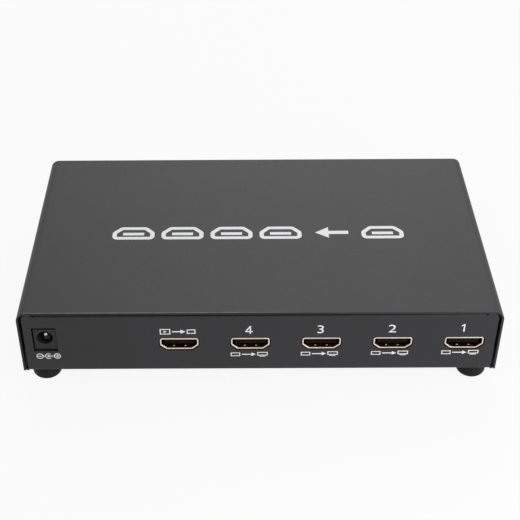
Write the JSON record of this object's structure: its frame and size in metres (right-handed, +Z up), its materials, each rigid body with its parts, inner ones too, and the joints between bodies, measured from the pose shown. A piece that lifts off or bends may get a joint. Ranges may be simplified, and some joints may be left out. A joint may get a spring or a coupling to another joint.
{
  "type": "video splitter",
  "caption": "Video splitter in a low folded-steel box: a row of gilt video sockets and a DC jack on one panel, indicator lamps on the other, rubber feet.",
  "frame": {"origin": "on the surface that the feet stand on, under the middle of the casing", "axes": "+X along the connector panel to the right as seen by someone facing it, +Y from the connector panel to the lamp panel, +Z up"},
  "size_m": [0.1898, 0.107, 0.0368],
  "materials": {
    "cover_paint": "fine matt powder coat",
    "panel_paint": "fine matt powder coat",
    "black_screw": "black oxide",
    "foot_rubber": "moulded, matt",
    "adhesive": "clear tape",
    "circuit_board": "solder resist",
    "standoff_brass": "turned",
    "plain_steel": "zinc plated",
    "gold_plate": "gold plated",
    "socket_plastic": "moulded black",
    "jack_plastic": "moulded black",
    "nickel_plate": "nickel plated",
    "spring_bronze": "dull bronze strip",
    "chip_plastic": "moulded epoxy",
    "tinned_lead": "tinned",
    "ferrite": "sintered",
    "can_aluminium": "drawn can",
    "resistor_black": "glazed",
    "ceramic_tan": "fired ceramic",
    "red_lens": "tinted clear",
    "green_lens": "tinted clear"
  },
  "bodies": {
    "case": {"base_chassis": "panel_paint", "top_cover": "cover_paint", "cover_screws": "black_screw", "foot_rear_left": "foot_rubber", "foot_rear_right": "foot_rubber", "foot_front_left": "foot_rubber", "foot_front_right": "foot_rubber", "foot_adhesive_discs": "adhesive", "main_board": "circuit_board", "board_standoffs": "standoff_brass", "board_screws": "plain_steel", "power_jack_body": "jack_plastic", "power_jack_pin": "nickel_plate", "power_jack_sleeve_terminal": "nickel_plate", "power_jack_shunt_terminal": "nickel_plate", "splitter_chip": "chip_plastic", "splitter_chip_leads": "tinned_lead", "controller_chip": "chip_plastic", "controller_chip_leads": "tinned_lead", "memory_chip": "chip_plastic", "memory_chip_leads": "tinned_lead", "regulator_body": "chip_plastic", "regulator_tab": "tinned_lead", "power_inductor": "ferrite", "capacitor_cans": "can_aluminium", "capacitor_bases": "chip_plastic", "crystal_can": "can_aluminium", "surge_arrays": "chip_plastic", "chip_resistors": "resistor_black", "chip_capacitors": "ceramic_tan", "power_lamp": "red_lens", "lamp_holders": "chip_plastic", "lamp_leads": "tinned_lead", "output_1_socket_shell": "gold_plate", "output_1_socket_insulator": "socket_plastic", "output_1_socket_contacts": "gold_plate", "output_2_socket_shell": "gold_plate", "output_2_socket_insulator": "socket_plastic", "output_2_socket_contacts": "gold_plate", "output_3_socket_shell": "gold_plate", "output_3_socket_insulator": "socket_plastic", "output_3_socket_contacts": "gold_plate", "output_4_socket_shell": "gold_plate", "output_4_socket_insulator": "socket_plastic", "output_4_socket_contacts": "gold_plate", "input_socket_shell": "gold_plate", "input_socket_insulator": "socket_plastic", "input_socket_contacts": "gold_plate", "output_1_lamp": "green_lens", "output_2_lamp": "green_lens", "output_3_lamp": "green_lens", "output_4_lamp": "green_lens"},
    "jack_spring": {"power_jack_spring": "spring_bronze"}
  },
  "joints": [
    {"name": "jack_spring_flex", "type": "hinge", "parent": "case", "child": "jack_spring", "pos_m": [-0.08345, -0.0414, 0.0195], "axis": [1, 0, 0], "range_deg": [0, 5], "stiffness_Nm_per_rad": 0.3}
  ]
}
